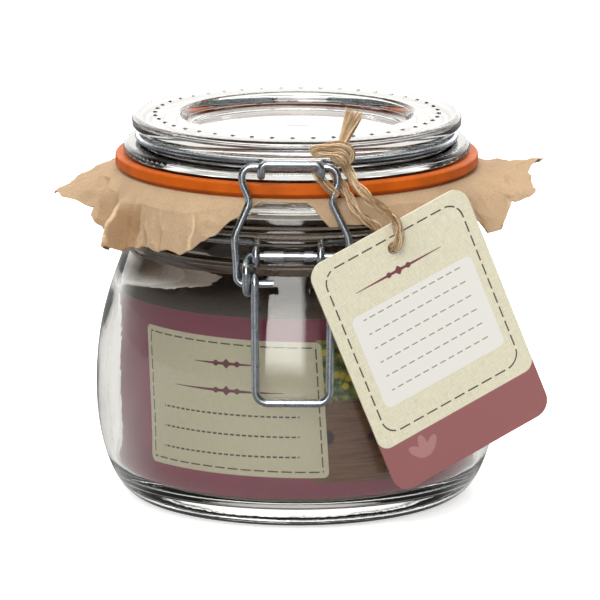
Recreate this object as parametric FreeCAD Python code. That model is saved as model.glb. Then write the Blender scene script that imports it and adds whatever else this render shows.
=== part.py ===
"""Clip-top preserving jar, closed, with a kraft paper skirt under its seal and a tag tied to its clasp.

The origin is at the centre of the base ring, +Z is up and the clasp faces -Y. All sizes are in millimetres.
"""
import FreeCAD, Part

import math
import os

from FreeCAD import Vector

# ---------------------------------------------------------------- jar body
base_inset = 13.8         # outer edge of the flat ring that the jar stands on, inside the belly
base_ring_width = 2.6
base_hollow = 2.4         # rise of the base's underside at its centre
belly_radius = 52.8
belly_height = 32.0
body_height = 66.6        # from the table to where the shoulder meets the neck
wall = 2.6
floor_thickness = 6.3
neck_radius = 44.6
neck_wall = 4.9
bead_rise = 1.3           # how far the two neck beads stand out
rim_overhang = 1.9        # how far the sealing lip stands out of the neck
neck_height = 20.1        # from the shoulder to the sealing rim

# ---------------------------------------------------------------- seal, paper and lid
paper_thickness = 0.4
seal_thickness = 3.9
seal_overhang = 1.0       # past the jar's lip
lid_height = 10.2         # from the seal to the top of the lid
flange_setback = 1.1      # lid flange inside the jar's lip
flange_height = 3.0
lid_rim_setback = 2.3     # upper rim of the lid inside its flange
lid_wire_rise = 4.4       # lid wire above the seal
lid_border = 11.8         # flat border between the lid's rim and its recess
recess_depth = 3.4
lid_thickness = 5.2       # glass at the middle of the lid
plug_depth = 6.0
plug_gap = 1.1            # between the lid's plug and the jar's mouth
stud_count = 44
stud_radius = 0.7
stud_inset = 6.0          # ring of studs inside the lid's rim

# ---------------------------------------------------------------- wires
neck_wire_diameter = 1.9
lid_wire_diameter = 2.0
link_wire_diameter = 1.9
lever_wire_diameter = 2.1
sleeve_wall = 0.25
wire_gap = 0.05           # a wire in its groove, or one turn beside the next
contact_gap = 0.15        # between two loops that hook on each other
axle_play = 0.65          # the lever's axle in the neck wire's eyelets
pin_play = 0.35           # the link's ends in the lever's eyes, and the lid's eyes on the hinge bar
axle_offset = 2.0         # the lever's axle in front of the seal
eyelet_inset = 2.5        # the eyelets inside the lever's legs
eyelet_shift = -0.7       # the eyelets sit a little to one side of the nose
lever_shift = 0.5         # and the lever and the foot of the link to the other
nose_half_width = 7.6
nose_rise = 1.2           # nose above the link's top bar
hinge_half_width = 13.4   # between the hinge's risers, half
hinge_eye_spacing = 8.5   # the lid wire's eyelets from the middle
coil_play = 0.06          # between the lever's coils and the neck wire's eyelets
link_offset = 1.7         # the link's pivot in front of the lever's axle
link_rise = 4.8           # its top bar above the lid's seat
link_lean = 1.1           # its top bar, behind the axle
link_top_half = 12.1
link_waist_half = 10.3
link_side_play = 0.45     # between its legs and the lever's coils
link_bulge = 0.3          # its legs wider above their feet
lever_half = 9.7
lever_length = 37.0       # from its axle to its bottom bar
lever_stand_off = 2.6     # bottom bar in front of the belly
pin_length = 9.3          # the link's inward ends

# ---------------------------------------------------------------- paper skirt
# azimuth from the clasp, free length past the lip and droop: short behind the link and at the hinge,
# standing out at its two side corners, one of which turns up, and hanging between them
paper_edge = (
    (-180.0, 0.6, 55.0),
    (-164.0, 0.6, 55.0),
    (-157.0, 12.0, 55.0),
    (-120.0, 13.5, 48.0),
    (-100.0, 14.5, 30.0),
    (-86.0, 16.0, 20.0),
    (-76.0, 14.0, 58.0),
    (-66.0, 17.3, 72.0),
    (-36.0, 14.8, 82.0),
    (-25.0, 10.6, 76.0),
    (-14.0, 4.2, 62.0),
    (-9.0, 0.6, 55.0),
    (4.0, 0.6, 60.0),
    (12.0, 6.5, 74.0),
    (30.0, 8.0, 76.0),
    (54.0, 10.0, 74.0),
    (64.0, 14.0, 54.0),
    (73.0, 15.5, 26.0),
    (86.0, 15.5, -13.0),
    (95.0, 15.0, -4.0),
    (108.0, 14.5, 26.0),
    (120.0, 13.0, 48.0),
    (157.0, 12.5, 55.0),
    (164.0, 0.6, 55.0),
    (180.0, 0.6, 55.0),
)

# ---------------------------------------------------------------- card sleeve and gift tag
card_thickness = 0.5
card_gap = 0.15           # between the card sleeve and the glass at its top
card_bottom = 9.2
card_drop = 11.0          # its top edge below the foot of the neck
card_seam = 1.2
tag_width = 47.5
tag_length = 66.5
tag_thickness = 0.5
tag_corner = 4.5
tag_hole_radius = 1.6
tag_hole_inset = 6.1
tag_azimuth = 26.0        # which way the tag faces, from the clasp
tag_turn = 23.1           # its turn in its own plane
tag_slide = 12.4          # its middle, sideways from where its plane is nearest to the jar
tag_drop = 45.6           # its middle, below the link's top bar
tag_gap = 0.3             # between the tag and the lever

# ---------------------------------------------------------------- twine
twine_diameter = 2.0
hole_stand_off = 2.0      # the twine's turns in front of the tag's hole and behind it
knot_length = 10.2
knot_diameter = 5.2
knot_tilt = 9.0           # right end down
knot_offset = (11.1, 1.1, 3.9)   # from the middle of the link's top bar
tail_length = 8.6
tail_end_radius = 2.5
tail_lean = (0.42, 0.08, 0.9)

# ---------------------------------------------------------------- heights and radii that follow
base_radius = belly_radius - base_inset
eyelet_radius = (neck_wire_diameter + lever_wire_diameter) / 2 + axle_play
hinge_eye_radius = (neck_wire_diameter + lid_wire_diameter) / 2 + pin_play
coil_radius = (link_wire_diameter + lever_wire_diameter) / 2 + pin_play
card_top = body_height - card_drop
groove_height = body_height + 8.9
lower_bead_height = body_height + 3.0
upper_bead_height = body_height + 11.3
waist_height = body_height + 15.2
rim_height = body_height + neck_height
bead_radius = neck_radius + bead_rise
neck_waist_radius = neck_radius - 1.2
rim_radius = neck_radius + rim_overhang
mouth_radius = neck_radius - neck_wall
neck_ring_radius = neck_radius - 0.25
seal_radius = rim_radius + seal_overhang
seal_bottom = rim_height + paper_thickness
lid_seat = seal_bottom + seal_thickness
lid_top = lid_seat + lid_height
flange_radius = rim_radius - flange_setback
lid_rim_radius = flange_radius - lid_rim_setback
recess_radius = lid_rim_radius - lid_border
stud_ring_radius = lid_rim_radius - stud_inset
lid_wire_height = lid_seat + lid_wire_rise
lid_ring_radius = lid_rim_radius - 1.8
plug_radius = mouth_radius - plug_gap
hinge_radius = seal_radius + 3.8
hinge_height = lid_wire_height - hinge_eye_radius - 0.5

axle_radius = seal_radius + axle_offset
axle_height = groove_height - eyelet_radius
coil_reach = eyelet_radius + coil_radius + (neck_wire_diameter + lever_wire_diameter) / 2 + coil_play
link_drop = math.sqrt(coil_reach ** 2 - link_offset ** 2)
pivot_height = axle_height - link_drop
pivot_radius = axle_radius + link_offset
link_top = lid_seat + link_rise
link_height = link_top - pivot_height
link_top_radius = axle_radius - link_lean
tag_height = link_top - tag_drop
lever_bottom = axle_height - lever_length
nose_radius = link_top_radius + 3.0
nose_height = link_top + nose_rise
bridge_height = link_top - (link_wire_diameter + lid_wire_diameter) / 2 - contact_gap
coil_pitch = lever_wire_diameter + wire_gap
lever_leg_half = lever_half + coil_pitch
eyelet_half_spacing = lever_leg_half - lever_wire_diameter / 2 - eyelet_inset
link_foot_half = lever_leg_half + (lever_wire_diameter + link_wire_diameter) / 2 + link_side_play

OUTPUT = "parts"


# ---------------------------------------------------------------- helpers
def outline(start, *segments):
    """Closed profile in the XZ plane. A segment is a point, an arc's (middle, end) pair, or a spline."""
    edges = []
    here = Vector(start[0], 0, start[1])
    first = here
    for segment in segments:
        if isinstance(segment, Part.BSplineCurve):
            edges.append(segment.toShape())
            here = segment.EndPoint
        elif isinstance(segment[0], tuple):
            middle = Vector(segment[0][0], 0, segment[0][1])
            end = Vector(segment[1][0], 0, segment[1][1])
            edges.append(Part.Arc(here, middle, end).toShape())
            here = end
        else:
            end = Vector(segment[0], 0, segment[1])
            edges.append(Part.makeLine(here, end))
            here = end
    if here.distanceToPoint(first) > 1e-6:
        edges.append(Part.makeLine(here, first))
    return Part.Wire(edges)


def dome(axis_height, radius, edge_height):
    """Middle of the arc of a sphere centred on the Z axis, between its pole and a radius."""
    rise = axis_height - edge_height
    sphere = (radius ** 2 + rise ** 2) / (2 * rise)
    middle = axis_height - sphere + math.copysign(math.sqrt(sphere ** 2 - radius ** 2 / 4), sphere)
    return (radius / 2, middle)


def turned(profile, angle=360.0):
    return Part.Face(profile).revolve(Vector(0, 0, 0), Vector(0, 0, 1), angle)


def smooth_curve(points, start_direction, end_direction):
    curve = Part.BSplineCurve()
    curve.interpolate(
        Points=[Vector(r, 0, z) for r, z in points],
        InitialTangent=Vector(start_direction[0], 0, start_direction[1]).normalize(),
        FinalTangent=Vector(end_direction[0], 0, end_direction[1]).normalize(),
        Scale=False,
    )
    return curve


def radius_at(curve, height):
    """Radius of a wall's curve at one height."""
    low, high = curve.FirstParameter, curve.LastParameter
    rising = curve.value(high).z > curve.value(low).z
    for _ in range(40):
        middle = (low + high) / 2
        if (curve.value(middle).z < height) == rising:
            low = middle
        else:
            high = middle
    return curve.value(low).x


def rounded(points, radii):
    """Straight runs through the points, with a tangent arc of the given radius at each inner point."""
    edges = []
    here = points[0]
    for before, corner, after, radius in zip(points, points[1:], points[2:], radii):
        back = (before - corner).normalize()
        on = (after - corner).normalize()
        half = back.getAngle(on) / 2
        reach = radius / math.tan(half)
        start = corner + back * reach
        end = corner + on * reach
        bisector = (back + on).normalize()
        middle = corner + bisector * (radius / math.sin(half) - radius)
        if here.distanceToPoint(start) > 1e-6:
            edges.append(Part.makeLine(here, start))
        edges.append(Part.Arc(start, middle, end).toShape())
        here = end
    if here.distanceToPoint(points[-1]) > 1e-6:
        edges.append(Part.makeLine(here, points[-1]))
    return edges


def wire_rod(edges, diameter):
    """Round wire along a path of edges."""
    path = Part.Wire(edges)
    first = path.OrderedEdges[0]
    start = first.valueAt(first.FirstParameter)
    direction = first.tangentAt(first.FirstParameter)
    if path.OrderedVertexes[0].Point.distanceToPoint(start) > 1e-6:
        start = first.valueAt(first.LastParameter)
        direction = first.tangentAt(first.LastParameter)
    section = Part.Wire([Part.makeCircle(diameter / 2, start, direction)])
    return path.makePipe(Part.Face(section))


def on_circle(radius, azimuth, height):
    """Point at an azimuth in degrees from the clasp, positive towards +X."""
    angle = math.radians(azimuth)
    return Vector(radius * math.sin(angle), -radius * math.cos(angle), height)


def circle_arc(radius, azimuth_from, azimuth_to, height):
    middle = (azimuth_from + azimuth_to) / 2
    return Part.Arc(
        on_circle(radius, azimuth_from, height),
        on_circle(radius, middle, height),
        on_circle(radius, azimuth_to, height),
    ).toShape()


def tangent_point(radius, azimuth, height, length):
    """Point off a circle along its tangent, towards larger azimuths if length is positive."""
    angle = math.radians(azimuth)
    along = Vector(math.cos(angle), math.sin(angle), 0)
    return on_circle(radius, azimuth, height) + along * length


def export(shape, name):
    shape.exportStep(os.path.join(OUTPUT, name + ".step"))


# ---------------------------------------------------------------- glass
def outer_wall():
    points = [
        (base_radius, 0.0),
        (belly_radius - 7.6, 2.0),
        (belly_radius - 5.2, 5.0),
        (belly_radius - 1.4, 15.0),
        (belly_radius, belly_height),
        (belly_radius - 2.1, belly_height + 17.0),
        (neck_radius + 2.0, body_height - 4.6),
        (neck_radius + 0.3, body_height),
    ]
    return smooth_curve(points, (1, 0), (-0.35, 1))


def inner_wall(outer):
    """Inside of the jar from the mouth down to the floor, a wall's thickness inside the outer curve."""
    shoulder = body_height - 8.2
    hip = belly_height + 17.0
    heel = floor_thickness + 2.9
    points = [
        (mouth_radius, body_height + 4.0),
        (radius_at(outer, body_height - 4.0) - wall - 1.0, body_height - 4.0),
        (radius_at(outer, shoulder) - wall, shoulder),
        (radius_at(outer, hip) - wall, hip),
        (radius_at(outer, belly_height) - wall, belly_height),
        (radius_at(outer, 15.0) - wall, 15.0),
        (radius_at(outer, heel) - wall - 0.2, heel),
        (belly_radius - 10.5, floor_thickness),
    ]
    return smooth_curve(points, (0, -1), (-1, 0))


def jar_body():
    outer = outer_wall()
    inner = inner_wall(outer)
    groove_root = neck_ring_radius - neck_wire_diameter / 2 - wire_gap
    groove_half = neck_wire_diameter / 2 + 0.15
    profile = outline(
        (0, base_hollow),
        (dome(base_hollow, base_radius - base_ring_width, 0), (base_radius - base_ring_width, 0)),
        (base_radius, 0),
        outer,
        (neck_radius + 0.3, lower_bead_height - 1.3),
        ((bead_radius, lower_bead_height), (neck_radius + 0.3, lower_bead_height + 1.3)),
        (neck_radius, groove_height - groove_half),
        ((groove_root, groove_height), (neck_radius, groove_height + groove_half)),
        (neck_radius + 0.2, upper_bead_height - 1.1),
        ((bead_radius, upper_bead_height), (neck_radius + 0.2, upper_bead_height + 1.1)),
        ((neck_waist_radius, waist_height), (neck_radius + 0.4, rim_height - 2.7)),
        (rim_radius - 0.5, rim_height - 2.6),
        ((rim_radius - 0.1, rim_height - 2.4), (rim_radius, rim_height - 2.0)),
        (rim_radius, rim_height - 0.8),
        ((rim_radius - 0.25, rim_height - 0.25), (rim_radius - 0.8, rim_height)),
        (mouth_radius + 1.5, rim_height),
        ((mouth_radius + 0.45, rim_height - 0.45), (mouth_radius, rim_height - 1.5)),
        (mouth_radius, body_height + 4.0),
        inner,
        (dome(floor_thickness + 0.5, belly_radius - 10.5, floor_thickness), (0, floor_thickness + 0.5)),
    )
    return turned(profile)


def lid():
    top = lid_top
    groove_root = lid_ring_radius - lid_wire_diameter / 2 - wire_gap
    dish = top - recess_depth
    under = dish - lid_thickness
    shoulder = lid_seat + flange_height
    profile = outline(
        (0, dish + 0.5),
        (dome(dish + 0.5, recess_radius - 4.0, dish), (recess_radius - 4.0, dish)),
        ((recess_radius - 2.6, dish + 0.4), (recess_radius - 1.9, dish + 1.4)),
        (recess_radius - 1.0, top - 0.7),
        ((recess_radius - 0.7, top - 0.2), (recess_radius, top)),
        (lid_rim_radius - 1.4, top - 0.1),
        ((lid_rim_radius - 0.3, top - 0.5), (lid_rim_radius, top - 1.6)),
        (lid_rim_radius - 0.1, top - 2.8),
        (lid_ring_radius, lid_wire_height + 1.3),
        ((groove_root, lid_wire_height), (lid_ring_radius, lid_wire_height - 1.3)),
        (flange_radius - 1.2, shoulder),
        ((flange_radius - 0.3, shoulder - 0.4), (flange_radius, shoulder - 1.3)),
        (flange_radius - 0.1, lid_seat),
        (plug_radius, lid_seat),
        (plug_radius - 0.3, lid_seat - plug_depth + 1.0),
        ((plug_radius - 0.7, lid_seat - plug_depth + 0.3), (plug_radius - 1.4, lid_seat - plug_depth)),
        (plug_radius - 2.6, lid_seat - plug_depth),
        ((plug_radius - 4.2, under - 2.0), (plug_radius - 8.0, under - 0.5)),
        (0, under),
    )
    glass = turned(profile)
    stud_height = 0.3
    ball = (stud_radius ** 2 + stud_height ** 2) / (2 * stud_height)
    studs = []
    for number in range(stud_count):
        azimuth = 360.0 * number / stud_count
        centre = on_circle(stud_ring_radius, azimuth, top - ball + stud_height - 0.07)
        studs.append(Part.makeSphere(ball, centre))
    return glass.fuse(studs).removeSplitter() if studs else glass


def seal_ring():
    inner = plug_radius + 0.8
    profile = outline(
        (inner, seal_bottom),
        (seal_radius - 1.6, seal_bottom),
        (seal_radius - 0.3, seal_bottom + 1.0),
        (seal_radius, seal_bottom + 1.3),
        (seal_radius, lid_seat - 0.6),
        ((seal_radius - 0.2, lid_seat - 0.15), (seal_radius - 0.6, lid_seat)),
        (inner, lid_seat),
    )
    return turned(profile)


# ---------------------------------------------------------------- paper
def paper_reach(azimuth):
    """Free length of the paper past the lip, and its droop in degrees, at one azimuth."""
    for (start, length_1, droop_1), (end, length_2, droop_2) in zip(paper_edge, paper_edge[1:]):
        if start <= azimuth <= end:
            share = (1 - math.cos(math.pi * (azimuth - start) / (end - start))) / 2
            length = length_1 + (length_2 - length_1) * share
            droop = droop_1 + (droop_2 - droop_1) * share
            break
    turn = math.radians(azimuth)
    ragged = 0.45 * math.sin(9 * turn + 0.6) + 0.35 * math.sin(23 * turn + 2.0) + 0.3 * math.sin(41 * turn)
    return length + ragged * min(1.0, length / 6.0), droop


def paper_skirt():
    """Sheet clamped between the rim and the seal, with its edge hanging past the lip in shallow folds."""
    steps = 160
    lip = rim_radius + 0.5
    columns = []
    for number in range(steps):
        azimuth = -180.0 + 360.0 * number / steps
        length, droop = paper_reach(azimuth)
        turn = math.radians(azimuth)
        fold = 0.5 * math.sin(13 * turn + 0.8) * min(1.0, length / 8.0)
        section = [(mouth_radius + 1.6, 0.0), (lip, 0.0)]
        for share in (0.3, 0.65, 1.0):
            angle = math.radians(droop * min(1.0, 0.45 + 0.75 * share))
            out, down = section[-1]
            step = length * 0.34
            section.append((out + step * math.cos(angle) + fold * 0.3, down - step * math.sin(angle)))
        columns.append((azimuth, section))
    rows = len(columns[0][1])

    def grid(offset):
        result = []
        for azimuth, section in columns:
            result.append([on_circle(out + (offset * 0.8 if row > 1 else 0.0), azimuth,
                                     rim_height + down + (offset if row < 2 else offset * 0.6))
                           for row, (out, down) in enumerate(section)])
        return result

    low = grid(0.0)
    high = grid(paper_thickness)
    faces = []

    def triangles(a, b, c, d):
        for corners in ((a, b, c), (a, c, d)):
            faces.append(Part.Face(Part.makePolygon([*corners, corners[0]])))

    for number in range(steps):
        after = (number + 1) % steps
        for row in range(rows - 1):
            triangles(high[number][row], high[number][row + 1], high[after][row + 1], high[after][row])
            triangles(low[number][row], low[after][row], low[after][row + 1], low[number][row + 1])
        triangles(low[number][0], high[number][0], high[after][0], low[after][0])
        triangles(low[number][-1], low[after][-1], high[after][-1], high[number][-1])
    solid = Part.makeSolid(Part.makeShell(faces))
    if solid.Volume < 0:
        solid.reverse()
    return solid


def card_sleeve(inner):
    radius = radius_at(inner, card_top) - card_gap
    profile = outline((radius - card_thickness, card_bottom), (radius, card_bottom), (radius, card_top),
                      (radius - card_thickness, card_top))
    seam_angle = math.degrees(card_seam / radius)
    sleeve = turned(profile, 360.0 - seam_angle)
    sleeve.rotate(Vector(0, 0, 0), Vector(0, 0, 1), 90.0 + seam_angle / 2)
    return sleeve


# ---------------------------------------------------------------- wires
def neck_wire():
    """One wire: eyelet, half round the neck, up to the hinge bar, and the same way back."""
    radius = neck_ring_radius

    def front(side):
        across = side * eyelet_half_spacing + eyelet_shift
        leave = math.degrees(math.asin((abs(across) + 2.6) / radius))
        start = on_circle(radius, side * leave, groove_height)
        corner = tangent_point(radius, side * leave, groove_height, -side * 2.75)
        over = Vector(corner.x, -axle_radius, groove_height)
        run = rounded([start, corner, over], [1.9])
        loop = []
        for turn_from, turn_to in ((0, 140), (140, 285)):
            corners = [turn_from, (turn_from + turn_to) / 2, turn_to]
            points = [Vector(corner.x, -axle_radius - eyelet_radius * math.sin(math.radians(a)),
                             axle_height + eyelet_radius * math.cos(math.radians(a))) for a in corners]
            loop.append(Part.Arc(*points).toShape())
        return side * leave, run + loop

    def back(side):
        leave = 180.0 - math.degrees(math.asin((hinge_half_width + 3.4) / radius))
        start = on_circle(radius, side * leave, groove_height)
        corner = tangent_point(radius, side * leave, groove_height, side * 3.6)
        out = Vector(corner.x, hinge_radius, groove_height)
        up = Vector(corner.x, hinge_radius, hinge_height)
        middle = Vector(0, hinge_radius, hinge_height)
        return side * leave, rounded([start, corner, out, up, middle], [2.0, 3.5, 3.0])

    edges = []
    for side in (-1, 1):
        front_azimuth, front_edges = front(side)
        back_azimuth, back_edges = back(side)
        edges += front_edges
        edges.append(circle_arc(radius, front_azimuth, back_azimuth, groove_height))
        edges += back_edges
    return wire_rod(Part.sortEdges(edges)[0], neck_wire_diameter)


def lid_wire():
    """One wire: hinge eyelet, half round the lid's waist, out to the nose, and the same way back."""
    radius = lid_ring_radius

    def front(side):
        leave = math.degrees(math.asin((nose_half_width + 3.0) / radius))
        start = on_circle(radius, side * leave, lid_wire_height)
        corner = tangent_point(radius, side * leave, lid_wire_height, -side * 3.1)
        across = corner.x
        step = flange_radius + 0.6
        points = [
            start,
            corner,
            Vector(across, -step, lid_wire_height),
            Vector(across, -step - 1.4, bridge_height),
            Vector(across, -nose_radius, bridge_height),
            Vector(across, -nose_radius, nose_height),
            Vector(0, -nose_radius, nose_height),
        ]
        return side * leave, rounded(points, [2.0, 1.2, 1.2, 1.6, 1.5])

    def back(side):
        leave = 180.0 - math.degrees(math.asin((hinge_eye_spacing + 3.6) / radius))
        start = on_circle(radius, side * leave, lid_wire_height)
        corner = tangent_point(radius, side * leave, lid_wire_height, side * 3.7)
        across = corner.x
        top = hinge_height + hinge_eye_radius
        points = [
            start,
            corner,
            Vector(across, flange_radius - 1.0, lid_wire_height),
            Vector(across, flange_radius + 2.4, top),
            Vector(across, hinge_radius, top),
        ]
        run = rounded(points, [2.2, 4.0, 4.0])
        loop = []
        for turn_from, turn_to in ((0, 140), (140, 280)):
            corners = [turn_from, (turn_from + turn_to) / 2, turn_to]
            spots = [Vector(across, hinge_radius + hinge_eye_radius * math.sin(math.radians(a)),
                            hinge_height + hinge_eye_radius * math.cos(math.radians(a))) for a in corners]
            loop.append(Part.Arc(*spots).toShape())
        return side * leave, run + loop

    edges = []
    for side in (-1, 1):
        front_azimuth, front_edges = front(side)
        back_azimuth, back_edges = back(side)
        edges += front_edges
        edges.append(circle_arc(radius, front_azimuth, back_azimuth, lid_wire_height))
        edges += back_edges
    return wire_rod(Part.sortEdges(edges)[0], lid_wire_diameter)


def link_wire():
    """Waisted loop from the lever's eyes up and over the bridge of the nose."""
    def half(side):
        def spot(across, height):
            share = (height - pivot_height) / link_height
            front = pivot_radius + (link_top_radius - pivot_radius) * share
            shift = lever_shift * (1 - 2 * share)
            return Vector(side * across + shift, -front, height)
        return [
            spot(0, link_top),
            spot(link_top_half, link_top),
            spot(link_top_half + 0.1, link_top - 4.0),
            spot(link_waist_half, link_top - 8.7),
            spot(link_foot_half + link_bulge, link_top - 18.0),
            spot(link_foot_half, pivot_height + 4.5),
            spot(link_foot_half, pivot_height),
            spot(link_foot_half - pin_length, pivot_height),
        ]
    radii = [2.6, 4.5, 3.6, 5.5, 5.0, 1.9]
    edges = rounded(half(-1), radii) + rounded(half(1), radii)
    return wire_rod(Part.sortEdges(edges)[0], link_wire_diameter)


def handle_reach(front):
    """Radius of the lever's bottom bar: its stand-off, or more where its legs would meet the wall."""
    outer = outer_wall()
    drop = pivot_height - lever_bottom
    reach = belly_radius + lever_stand_off
    for number in range(1, 21):
        below = drop * number / 20
        wall_front = math.sqrt(radius_at(outer, pivot_height - below) ** 2 - lever_half ** 2)
        needed = wall_front + lever_wire_diameter / 2 + contact_gap
        reach = max(reach, front + (needed - front) * drop / below)
    return reach


def lever_wire():
    """Handle loop whose ends coil once round the link's ends and meet as the axle."""
    front = pivot_radius + coil_radius
    rear = pivot_radius - coil_radius
    top = pivot_height + coil_radius
    bottom = pivot_height - coil_radius
    handle_radius = handle_reach(front)

    def half(side):
        def spot(across, out, height):
            return Vector(side * across + lever_shift, -out, height)
        return [
            spot(0, axle_radius, axle_height),
            spot(lever_leg_half, axle_radius, axle_height),
            spot(lever_leg_half, front, axle_height - 3.0),
            spot(lever_leg_half, front, bottom),
            spot(lever_leg_half - coil_pitch / 3, rear, bottom),
            spot(lever_leg_half - 2 * coil_pitch / 3, rear, top),
            spot(lever_half, front, top),
            spot(lever_half - 0.3, handle_radius, lever_bottom),
            spot(0, handle_radius, lever_bottom),
        ]
    bend = coil_radius - 0.06
    radii = [1.7, 1.9, bend, bend, bend, bend, 3.2]
    edges = rounded(half(-1), radii) + rounded(half(1), radii)
    return wire_rod(Part.sortEdges(edges)[0], lever_wire_diameter)


def axle_sleeve(across_from, across_to):
    """Thin tube on the axle."""
    start = Vector(across_from, -axle_radius, axle_height)
    along = Vector(1, 0, 0)
    length = across_to - across_from
    inner = lever_wire_diameter / 2 + wire_gap
    tube = Part.makeCylinder(inner + sleeve_wall, length, start, along)
    return tube.cut(Part.makeCylinder(inner, length, start, along))


# ---------------------------------------------------------------- tag, twine and knot
tag_facing = Vector(math.sin(math.radians(tag_azimuth)), -math.cos(math.radians(tag_azimuth)), 0)
tag_level = Vector(math.cos(math.radians(tag_azimuth)), math.sin(math.radians(tag_azimuth)), 0)
tag_rise = Vector(0, 0, math.sin(math.radians(tag_turn)))
tag_across = tag_level * math.cos(math.radians(tag_turn)) + tag_rise
tag_up = tag_facing.cross(tag_across)
lever_corner = Vector(lever_shift + lever_leg_half + lever_wire_diameter / 2,
                      -pivot_radius - coil_radius - lever_wire_diameter / 2, 0)
tag_distance = max(lever_corner.dot(tag_facing), belly_radius) + tag_gap + tag_thickness / 2
tag_centre = tag_facing * tag_distance + tag_level * tag_slide + Vector(0, 0, tag_height)
tag_hole_up = tag_length / 2 - tag_hole_inset


def tag_point(across, up, out):
    """Point in the tag's own plane, and out in front of its middle."""
    return tag_centre + tag_across * across + tag_up * up + tag_facing * out


def gift_tag():
    half_width = tag_width / 2
    half_length = tag_length / 2
    back = -tag_thickness / 2
    corners = [(-half_width, -half_length), (half_width, -half_length),
               (half_width, half_length), (-half_width, half_length)]
    points = [tag_point(0, -half_length, back)]
    points += [tag_point(across, up, back) for across, up in corners[1:]]
    points += [tag_point(*corners[0], back), points[0]]
    border = Part.Wire(rounded(points, [tag_corner] * 4))
    card = Part.Face(border).extrude(tag_facing * tag_thickness)
    hole = Part.makeCylinder(tag_hole_radius, 4.0, tag_point(0, tag_hole_up, -2.0), tag_facing)
    return card.cut(hole)


link_bar = Vector(-lever_shift, -link_top_radius, link_top)
knot_centre = link_bar + Vector(*knot_offset)


def twine_route():
    """Twine from the knot to the tag's front, through its hole and up behind the link's leg to the knot."""
    hole = tag_hole_up
    return [
        link_bar + Vector(14.3, -0.3, 1.0),
        link_bar + Vector(15.5, -1.3, -3.2),
        link_bar + Vector(20.4, -2.9, -7.8),
        tag_point(3.0, hole + 7.4, 1.8),
        tag_point(2.2, hole + 3.6, 2.5),
        tag_point(0, hole, hole_stand_off),
        tag_point(0, hole, -hole_stand_off),
        tag_point(-0.4, hole + 4.6, -2.3),
        link_bar + Vector(18.1, -0.5, -11.0),
        link_bar + Vector(15.1, 1.0, -6.2),
        link_bar + Vector(11.8, 2.1, -3.0),
        link_bar + Vector(10.7, 2.3, 0.1),
    ]


def cord_radii(points):
    """Bend at each inner point, as large as the two runs beside it allow."""
    radii = []
    for before, corner, after in zip(points, points[1:], points[2:]):
        turn = (corner - before).getAngle(after - corner)
        shorter = min((corner - before).Length, (after - corner).Length)
        radii.append(0.45 * shorter / math.tan(turn / 2))
    return radii


def twine_loop():
    points = twine_route()
    edges = rounded(points, cord_radii(points))
    tube = wire_rod(edges, twine_diameter)
    length = sum(edge.Length for edge in edges)
    ratio = tube.Volume / (length * math.pi * twine_diameter ** 2 / 4)
    radii = " ".join(f"{radius:.1f}" for radius in cord_radii(points))
    print(f"twine: {length:.1f} mm long, volume ratio {ratio:.4f}, bend radii {radii}")
    return tube


def twine_knot():
    """Closed outer shape of the knot on the link's corner, with its frayed tail."""
    half = knot_length / 2
    radius = knot_diameter / 2
    corner = radius * math.sqrt(0.5)
    barrel = outline(
        (0, -half),
        ((corner, radius - half - corner), (radius, radius - half)),
        (radius, half - radius),
        ((corner, half - radius + corner), (0, half)),
    )
    knot = turned(barrel)
    knot.rotate(Vector(0, 0, 0), Vector(0, 1, 0), 90.0)
    knot.rotate(Vector(0, 0, 0), Vector(0, 1, 0), knot_tilt)
    knot.translate(knot_centre)
    start = knot_centre + Vector(2.0, 0, 0.6)
    tail = Part.makeCone(twine_diameter * 0.7, tail_end_radius, tail_length, start, Vector(*tail_lean))
    return knot.fuse(tail)


# ---------------------------------------------------------------- build
def build():
    os.makedirs(OUTPUT, exist_ok=True)
    export(jar_body(), "jar_body")
    export(lid(), "lid")
    export(seal_ring(), "seal_ring")
    export(paper_skirt(), "paper_skirt")
    export(card_sleeve(inner_wall(outer_wall())), "card_sleeve")
    export(neck_wire(), "neck_wire")
    export(lid_wire(), "lid_wire")
    export(link_wire(), "link_wire")
    export(lever_wire(), "lever_wire")
    export(axle_sleeve(-6.9, -2.0), "axle_sleeve_left")
    export(axle_sleeve(3.4, 5.6), "axle_sleeve_right")
    export(gift_tag(), "gift_tag")
    export(twine_loop(), "twine_loop")
    export(twine_knot(), "twine_knot")


build()
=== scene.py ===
"""Looks of the clip-top preserving jar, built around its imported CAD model."""
import math
import random

import bmesh
import bpy
from bpy.props import FloatProperty, FloatVectorProperty, PointerProperty
from mathutils import Matrix, Vector, noise


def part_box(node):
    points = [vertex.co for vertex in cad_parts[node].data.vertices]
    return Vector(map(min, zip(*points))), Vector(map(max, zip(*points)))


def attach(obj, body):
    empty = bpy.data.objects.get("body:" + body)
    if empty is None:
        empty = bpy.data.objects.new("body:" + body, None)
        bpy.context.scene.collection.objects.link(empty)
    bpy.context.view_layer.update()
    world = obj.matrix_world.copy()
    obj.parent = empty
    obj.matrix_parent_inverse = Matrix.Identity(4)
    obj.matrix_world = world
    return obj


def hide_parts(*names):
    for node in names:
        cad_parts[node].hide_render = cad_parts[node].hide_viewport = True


bl_info = {
    "name": "Clip-top Preserving Jar",
    "version": (1, 0, 0),
    "blender": (4, 5, 0),
    "location": "View3D > Sidebar > Jar",
    "description": "Glass, wire, seal, paper skirt, card sleeve, gift tag and twine of a preserving jar",
    "category": "Object",
}

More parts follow.
